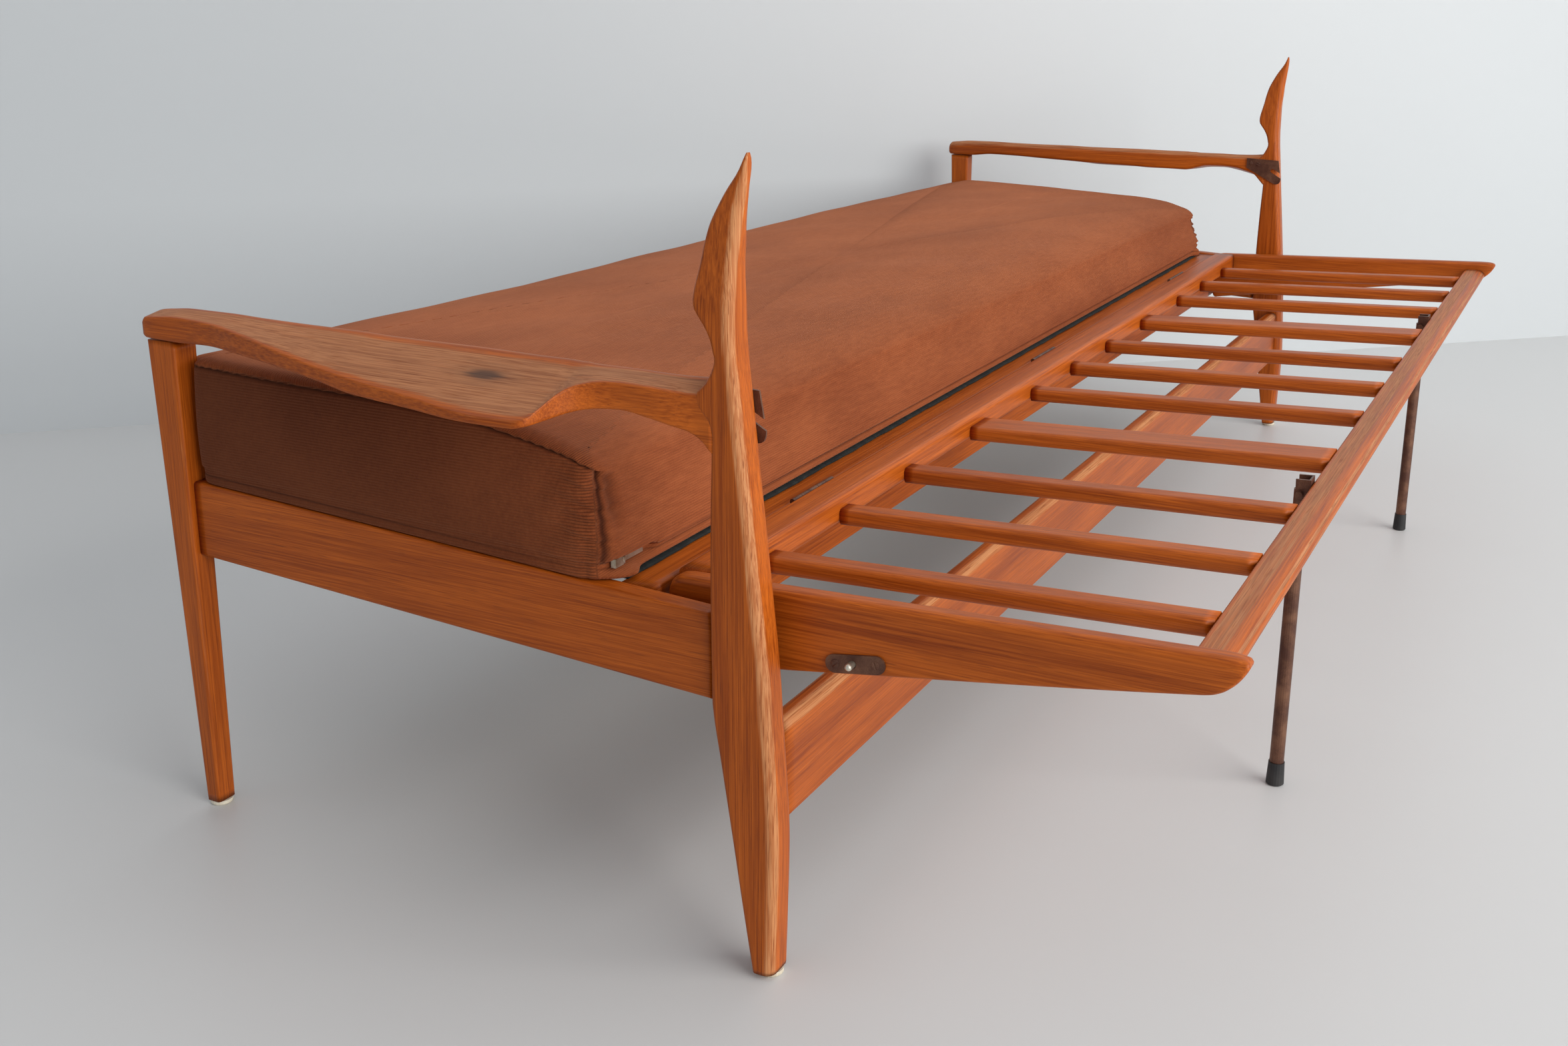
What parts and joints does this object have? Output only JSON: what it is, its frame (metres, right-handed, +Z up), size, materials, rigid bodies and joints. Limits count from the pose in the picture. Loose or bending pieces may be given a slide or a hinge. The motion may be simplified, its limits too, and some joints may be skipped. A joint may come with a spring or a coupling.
{
  "type": "daybed",
  "caption": "Wooden daybed with open arms, tall back posts, a long mattress and a slatted back that folds open on legs behind the seat.",
  "frame": {"origin": "on the floor, in the middle of the whole", "axes": "+X along the daybed to its right end, seen from the front; -Y to the seat's front; +Z up"},
  "size_m": [2.224, 1.0542, 0.7005],
  "materials": {
    "teak": "satin varnish, worn pale along the edges",
    "deck_wood": "plain sawn softwood",
    "cord_fabric": "fine-waled cord, matt",
    "underlay": "dark matt felt",
    "brown_steel": "worn brown paint",
    "pale_steel": "dulled bright steel",
    "foot_rubber": "matt",
    "glide_nylon": "cream nylon"
  },
  "bodies": {
    "frame": {"front_leg_right": "teak", "front_leg_left": "teak", "back_post_right": "teak", "back_post_left": "teak", "arm_right": "teak", "arm_left": "teak", "seat_end_rail_right": "teak", "seat_end_rail_left": "teak", "seat_front_rail": "teak", "seat_hinge_rail": "teak", "back_stretcher": "teak", "front_glide_right": "glide_nylon", "front_glide_left": "glide_nylon", "back_glide_right": "glide_nylon", "back_glide_left": "glide_nylon", "seat_ledger_front": "deck_wood", "seat_ledger_rear": "deck_wood", "seat_slat_1": "deck_wood", "seat_slat_2": "deck_wood", "seat_slat_3": "deck_wood", "seat_slat_4": "deck_wood", "seat_slat_5": "deck_wood", "seat_slat_6": "deck_wood", "seat_underlay": "underlay", "hinge_seat_leaf_left": "brown_steel", "hinge_seat_leaf_middle": "brown_steel", "hinge_seat_leaf_right": "brown_steel", "hook_plate_right": "brown_steel", "hook_plate_left": "brown_steel"},
    "back": {"back_inner_rail": "teak", "back_outer_rail": "teak", "back_end_rail_right": "teak", "back_end_rail_left": "teak", "back_slat_1": "teak", "back_slat_2": "teak", "back_slat_3": "teak", "back_slat_4": "teak", "back_slat_5": "teak", "back_slat_6": "teak", "back_slat_7": "teak", "back_slat_8": "teak", "back_slat_9": "teak", "back_slat_10": "teak", "back_slat_11": "teak", "hinge_back_leaf_left": "brown_steel", "hinge_back_leaf_middle": "brown_steel", "hinge_back_leaf_right": "brown_steel", "catch_plate_right": "brown_steel", "catch_plate_left": "brown_steel", "leg_bracket_right": "brown_steel", "leg_bracket_left": "brown_steel"},
    "leg_right": {"leg_tube_right": "brown_steel", "leg_foot_right": "foot_rubber"},
    "leg_left": {"leg_tube_left": "brown_steel", "leg_foot_left": "foot_rubber"},
    "catch_right": {"catch_stud_right": "pale_steel"},
    "catch_left": {"catch_stud_left": "pale_steel"},
    "mattress": {"mattress": "cord_fabric", "zip_slider": "pale_steel"},
    "zip_pull": {"zip_pull": "pale_steel"}
  },
  "joints": [
    {"name": "back_fold", "type": "hinge", "parent": "frame", "child": "back", "pos_m": [0, 0.03187, 0.33098], "axis": [1, 0, 0], "range_deg": [0, 73]},
    {"name": "leg_fold_right", "type": "hinge", "parent": "back", "child": "leg_right", "pos_m": [0.47726, 0.46831, 0.32697], "axis": [-1, 0, 0], "range_deg": [0, 88]},
    {"name": "leg_fold_left", "type": "hinge", "parent": "back", "child": "leg_left", "pos_m": [-0.47726, 0.46831, 0.32697], "axis": [-1, 0, 0], "range_deg": [0, 88]},
    {"name": "catch_right", "type": "slide", "parent": "back", "child": "catch_right", "axis": [-1, 0, 0], "range_m": [0, 0.005], "stiffness_N_per_m": 400},
    {"name": "catch_left", "type": "slide", "parent": "back", "child": "catch_left", "axis": [1, 0, 0], "range_m": [0, 0.005], "stiffness_N_per_m": 400},
    {"name": "mattress_lift", "type": "slide", "parent": "frame", "child": "mattress", "axis": [0, 0, 1], "range_m": [0, 0.012]},
    {"name": "zip_pull_swing", "type": "hinge", "parent": "mattress", "child": "zip_pull", "pos_m": [1.0093, -0.00353, 0.34517], "axis": [0, 0, -1], "range_deg": [0, 110]}
  ]
}
